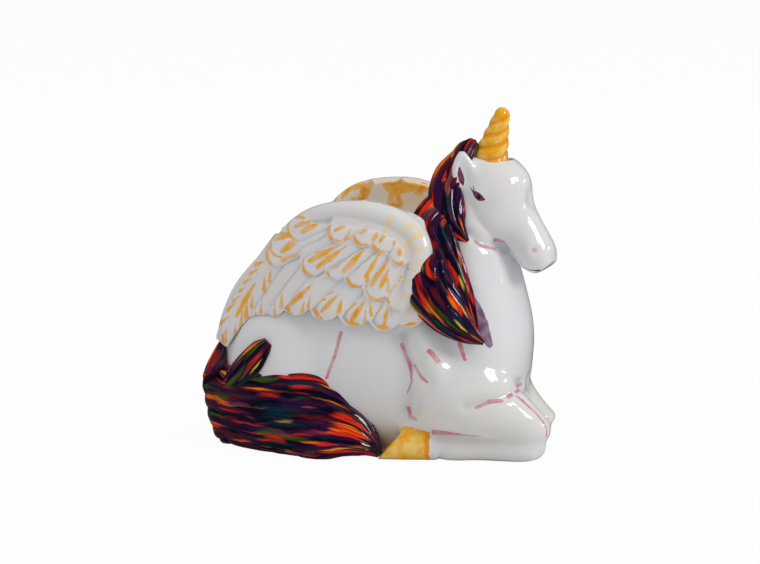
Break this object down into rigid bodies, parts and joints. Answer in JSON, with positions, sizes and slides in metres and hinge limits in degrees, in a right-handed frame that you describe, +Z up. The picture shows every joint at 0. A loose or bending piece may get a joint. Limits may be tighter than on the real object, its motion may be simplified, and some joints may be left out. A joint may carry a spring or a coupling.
{
  "type": "unicorn figurine",
  "caption": "Glazed earthenware figurine of a winged unicorn lying with its forelegs folded, with feathered wings, a spiral horn and a flowing painted mane and tail, on a flat base.",
  "frame": {"origin": "on the flat base, under the middle of the barrel", "axes": "+X towards the nose, +Y to the animal's left, +Z up"},
  "size_m": [0.1634, 0.0999, 0.1548],
  "materials": {
    "white_glaze": "white glossy glaze with pink brush strokes",
    "gold_glaze": "yellow ochre glossy glaze with darker bands",
    "feather_glaze": "white glossy glaze with ochre strokes on the feathers",
    "hair_glaze": "dark plum glossy glaze streaked with red, orange, green and teal"
  },
  "bodies": {
    "root": {"body_shell": "white_glaze", "neck_shell": "white_glaze", "head_shell": "white_glaze", "right_ear": "white_glaze", "left_ear": "white_glaze", "right_haunch": "white_glaze", "left_haunch": "white_glaze", "right_forearm": "white_glaze", "left_forearm": "white_glaze", "right_cannon": "white_glaze", "left_cannon": "white_glaze", "left_hind_cannon": "white_glaze", "horn": "gold_glaze", "right_fore_hoof": "gold_glaze", "left_fore_hoof": "gold_glaze", "left_hind_hoof": "gold_glaze", "right_wing": "feather_glaze", "left_wing": "feather_glaze", "tail": "hair_glaze", "tail_curl": "hair_glaze", "mane_crest": "hair_glaze", "mane_upper_lock": "hair_glaze", "mane_middle_lock": "hair_glaze", "mane_lower_lock": "hair_glaze"}
  },
  "joints": []
}
